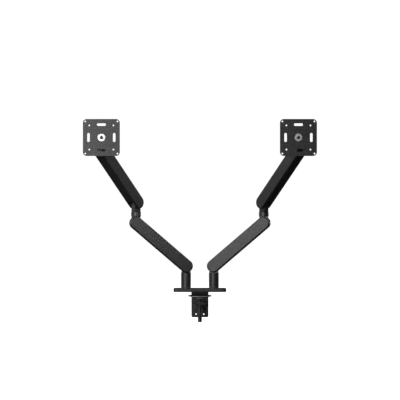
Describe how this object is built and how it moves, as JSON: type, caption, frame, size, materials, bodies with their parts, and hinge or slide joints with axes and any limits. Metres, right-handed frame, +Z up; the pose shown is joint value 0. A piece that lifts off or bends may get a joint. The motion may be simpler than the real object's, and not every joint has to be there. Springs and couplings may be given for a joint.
{
  "type": "monitor arm",
  "caption": "Twin gas-spring monitor arm on one desk clamp: two posts, each with a sloping lower arm, an elbow, an upper arm and a tilting, turning screen plate.",
  "frame": {"origin": "middle of the base's underside, on the desk top, halfway between the two posts", "axes": "+Z up, +X to the right for someone facing the screens, who looks along +Y; the screens face -Y"},
  "size_m": [0.7278, 0.2646, 0.6471],
  "materials": {
    "cast": "fine textured black powder coat",
    "cover": "fine grained matte",
    "black_steel": "satin black powder coat",
    "zinc": "zinc plated",
    "rubber": "matt foam rubber"
  },
  "bodies": {
    "root": {"base_plate": "cast", "base_pad": "rubber", "clamp_bracket": "black_steel", "clamp_jaw": "black_steel", "jaw_bolt_left": "black_steel", "jaw_bolt_right": "black_steel", "left_post_pin": "black_steel", "right_post_pin": "black_steel"},
    "disc_slider": {"press_disc": "cast"},
    "screw": {"clamp_screw": "black_steel"},
    "left_turret": {"left_post_sleeve": "cast"},
    "left_lower_arm": {"left_lower_arm_channel": "cast", "left_lower_arm_front_cover": "cover", "left_lower_arm_back_cover": "cover", "left_lower_gas_cylinder": "black_steel", "left_lower_pivot_pin": "zinc", "left_lower_end_pin": "zinc", "left_cable_cover": "cover"},
    "left_lower_spring_rod": {"left_lower_gas_rod": "zinc"},
    "left_lower_parallel_link": {"left_lower_link": "black_steel"},
    "left_elbow": {"left_elbow_base": "cast"},
    "left_yoke": {"left_elbow_yoke": "cast"},
    "left_upper_arm": {"left_upper_arm_channel": "cast", "left_upper_arm_front_cover": "cover", "left_upper_arm_back_cover": "cover", "left_upper_gas_cylinder": "black_steel", "left_upper_pivot_pin": "zinc", "left_upper_end_pin": "zinc"},
    "left_upper_spring_rod": {"left_upper_gas_rod": "zinc"},
    "left_upper_parallel_link": {"left_upper_link": "black_steel"},
    "left_head": {"left_head_base": "cast"},
    "left_swivel": {"left_head_swivel": "cast"},
    "left_tilt": {"left_tilt_block": "cast", "left_tilt_bolt": "black_steel"},
    "left_screen_plate": {"left_vesa_plate": "black_steel"},
    "right_turret": {"right_post_sleeve": "cast"},
    "right_lower_arm": {"right_lower_arm_channel": "cast", "right_lower_arm_front_cover": "cover", "right_lower_arm_back_cover": "cover", "right_lower_gas_cylinder": "black_steel", "right_lower_pivot_pin": "zinc", "right_lower_end_pin": "zinc", "right_cable_cover": "cover"},
    "right_lower_spring_rod": {"right_lower_gas_rod": "zinc"},
    "right_lower_parallel_link": {"right_lower_link": "black_steel"},
    "right_elbow": {"right_elbow_base": "cast"},
    "right_yoke": {"right_elbow_yoke": "cast"},
    "right_upper_arm": {"right_upper_arm_channel": "cast", "right_upper_arm_front_cover": "cover", "right_upper_arm_back_cover": "cover", "right_upper_gas_cylinder": "black_steel", "right_upper_pivot_pin": "zinc", "right_upper_end_pin": "zinc"},
    "right_upper_spring_rod": {"right_upper_gas_rod": "zinc"},
    "right_upper_parallel_link": {"right_upper_link": "black_steel"},
    "right_head": {"right_head_base": "cast"},
    "right_swivel": {"right_head_swivel": "cast"},
    "right_tilt": {"right_tilt_block": "cast", "right_tilt_bolt": "black_steel"},
    "right_screen_plate": {"right_vesa_plate": "black_steel"}
  },
  "joints": [
    {"name": "press_disc_travel", "type": "slide", "parent": "root", "child": "disc_slider", "axis": [0, 0, 1], "range_m": [-0.0142, 0.012]},
    {"name": "clamp_screw_turn", "type": "hinge", "parent": "disc_slider", "child": "screw", "pos_m": [0, 0, -0.06], "axis": [0, 0, 1], "range_deg": [-2925, 2472]},
    {"name": "left_post_yaw", "type": "hinge", "parent": "root", "child": "left_turret", "pos_m": [-0.045, 0, 0.04], "axis": [0, 0, 1], "range_deg": [-100, 80]},
    {"name": "left_lower_lift", "type": "hinge", "parent": "left_turret", "child": "left_lower_arm", "pos_m": [-0.045, 0, 0.0825], "axis": [-0.2079, 0.9781, 0], "range_deg": [-38, 28]},
    {"name": "left_lower_link_swing", "type": "hinge", "parent": "left_turret", "child": "left_lower_parallel_link", "pos_m": [-0.05005, -0.00107, 0.07279], "axis": [-0.2079, 0.9781, 0], "range_deg": [-38.5, 28.5]},
    {"name": "left_lower_rod_stroke", "type": "slide", "parent": "left_lower_arm", "child": "left_lower_spring_rod", "axis": [-0.746, -0.1586, 0.6468], "range_m": [-0.0065, 0.0048]},
    {"name": "left_elbow_level", "type": "hinge", "parent": "left_lower_arm", "child": "left_elbow", "pos_m": [-0.20539, -0.03409, 0.22156], "axis": [-0.2079, 0.9781, 0], "range_deg": [-28.5, 38.5]},
    {"name": "left_elbow_yaw", "type": "hinge", "parent": "left_elbow", "child": "left_yoke", "pos_m": [-0.20539, -0.03409, 0.25056], "axis": [0, 0, 1], "range_deg": [-120, 80]},
    {"name": "left_upper_lift", "type": "hinge", "parent": "left_yoke", "child": "left_upper_arm", "pos_m": [-0.20539, -0.03409, 0.28806], "axis": [-0.788, 0.6157, 0], "range_deg": [-64, 26]},
    {"name": "left_upper_link_swing", "type": "hinge", "parent": "left_yoke", "child": "left_upper_parallel_link", "pos_m": [-0.20857, -0.03816, 0.27835], "axis": [-0.788, 0.6157, 0], "range_deg": [-64.5, 26.5]},
    {"name": "left_upper_rod_stroke", "type": "slide", "parent": "left_upper_arm", "child": "left_upper_spring_rod", "axis": [-0.4429, -0.5668, 0.6947], "range_m": [-0.0099, 0.0042]},
    {"name": "left_head_level", "type": "hinge", "parent": "left_upper_arm", "child": "left_head", "pos_m": [-0.30636, -0.16333, 0.44644], "axis": [-0.788, 0.6157, 0], "range_deg": [-26.5, 64.5]},
    {"name": "left_head_pan", "type": "hinge", "parent": "left_head", "child": "left_swivel", "pos_m": [-0.30636, -0.16333, 0.48034], "axis": [0, 0, 1], "range_deg": [-90, 90]},
    {"name": "left_screen_tilt", "type": "hinge", "parent": "left_swivel", "child": "left_tilt", "pos_m": [-0.30636, -0.19233, 0.49004], "axis": [-1, 0, 0], "range_deg": [-20, 70]},
    {"name": "left_screen_roll", "type": "hinge", "parent": "left_tilt", "child": "left_screen_plate", "pos_m": [-0.30636, -0.21233, 0.49004], "axis": [0, -1, 0], "range_deg": [-90, 90]},
    {"name": "right_post_yaw", "type": "hinge", "parent": "root", "child": "right_turret", "pos_m": [0.045, 0, 0.04], "axis": [0, 0, 1], "range_deg": [-80, 100]},
    {"name": "right_lower_lift", "type": "hinge", "parent": "right_turret", "child": "right_lower_arm", "pos_m": [0.045, 0, 0.0825], "axis": [-0.2079, -0.9781, 0], "range_deg": [-38, 28]},
    {"name": "right_lower_link_swing", "type": "hinge", "parent": "right_turret", "child": "right_lower_parallel_link", "pos_m": [0.05005, -0.00107, 0.07279], "axis": [-0.2079, -0.9781, 0], "range_deg": [-38.5, 28.5]},
    {"name": "right_lower_rod_stroke", "type": "slide", "parent": "right_lower_arm", "child": "right_lower_spring_rod", "axis": [0.746, -0.1586, 0.6468], "range_m": [-0.0065, 0.0048]},
    {"name": "right_elbow_level", "type": "hinge", "parent": "right_lower_arm", "child": "right_elbow", "pos_m": [0.20539, -0.03409, 0.22156], "axis": [-0.2079, -0.9781, 0], "range_deg": [-28.5, 38.5]},
    {"name": "right_elbow_yaw", "type": "hinge", "parent": "right_elbow", "child": "right_yoke", "pos_m": [0.20539, -0.03409, 0.25056], "axis": [0, 0, -1], "range_deg": [-120, 80]},
    {"name": "right_upper_lift", "type": "hinge", "parent": "right_yoke", "child": "right_upper_arm", "pos_m": [0.20539, -0.03409, 0.28806], "axis": [-0.788, -0.6157, 0], "range_deg": [-64, 26]},
    {"name": "right_upper_link_swing", "type": "hinge", "parent": "right_yoke", "child": "right_upper_parallel_link", "pos_m": [0.20857, -0.03816, 0.27835], "axis": [-0.788, -0.6157, 0], "range_deg": [-64.5, 26.5]},
    {"name": "right_upper_rod_stroke", "type": "slide", "parent": "right_upper_arm", "child": "right_upper_spring_rod", "axis": [0.4429, -0.5668, 0.6947], "range_m": [-0.0099, 0.0042]},
    {"name": "right_head_level", "type": "hinge", "parent": "right_upper_arm", "child": "right_head", "pos_m": [0.30636, -0.16333, 0.44644], "axis": [-0.788, -0.6157, 0], "range_deg": [-26.5, 64.5]},
    {"name": "right_head_pan", "type": "hinge", "parent": "right_head", "child": "right_swivel", "pos_m": [0.30636, -0.16333, 0.48034], "axis": [0, 0, -1], "range_deg": [-90, 90]},
    {"name": "right_screen_tilt", "type": "hinge", "parent": "right_swivel", "child": "right_tilt", "pos_m": [0.30636, -0.19233, 0.49004], "axis": [-1, 0, 0], "range_deg": [-20, 70]},
    {"name": "right_screen_roll", "type": "hinge", "parent": "right_tilt", "child": "right_screen_plate", "pos_m": [0.30636, -0.21233, 0.49004], "axis": [0, -1, 0], "range_deg": [-90, 90]}
  ],
  "couplings": [
    {"joint": "clamp_screw_turn", "follows": "press_disc_travel", "rad_per_m": 3590.4},
    {"joint": "left_lower_link_swing", "follows": "left_lower_lift", "ratio": 1},
    {"joint": "left_lower_rod_stroke", "follows": "left_lower_lift", "m_per_rad": 0.009152},
    {"joint": "left_elbow_level", "follows": "left_lower_lift", "ratio": -1},
    {"joint": "left_upper_link_swing", "follows": "left_upper_lift", "ratio": 1},
    {"joint": "left_upper_rod_stroke", "follows": "left_upper_lift", "m_per_rad": 0.008632},
    {"joint": "left_head_level", "follows": "left_upper_lift", "ratio": -1},
    {"joint": "right_lower_link_swing", "follows": "right_lower_lift", "ratio": 1},
    {"joint": "right_lower_rod_stroke", "follows": "right_lower_lift", "m_per_rad": 0.009152},
    {"joint": "right_elbow_level", "follows": "right_lower_lift", "ratio": -1},
    {"joint": "right_upper_link_swing", "follows": "right_upper_lift", "ratio": 1},
    {"joint": "right_upper_rod_stroke", "follows": "right_upper_lift", "m_per_rad": 0.008632},
    {"joint": "right_head_level", "follows": "right_upper_lift", "ratio": -1}
  ]
}
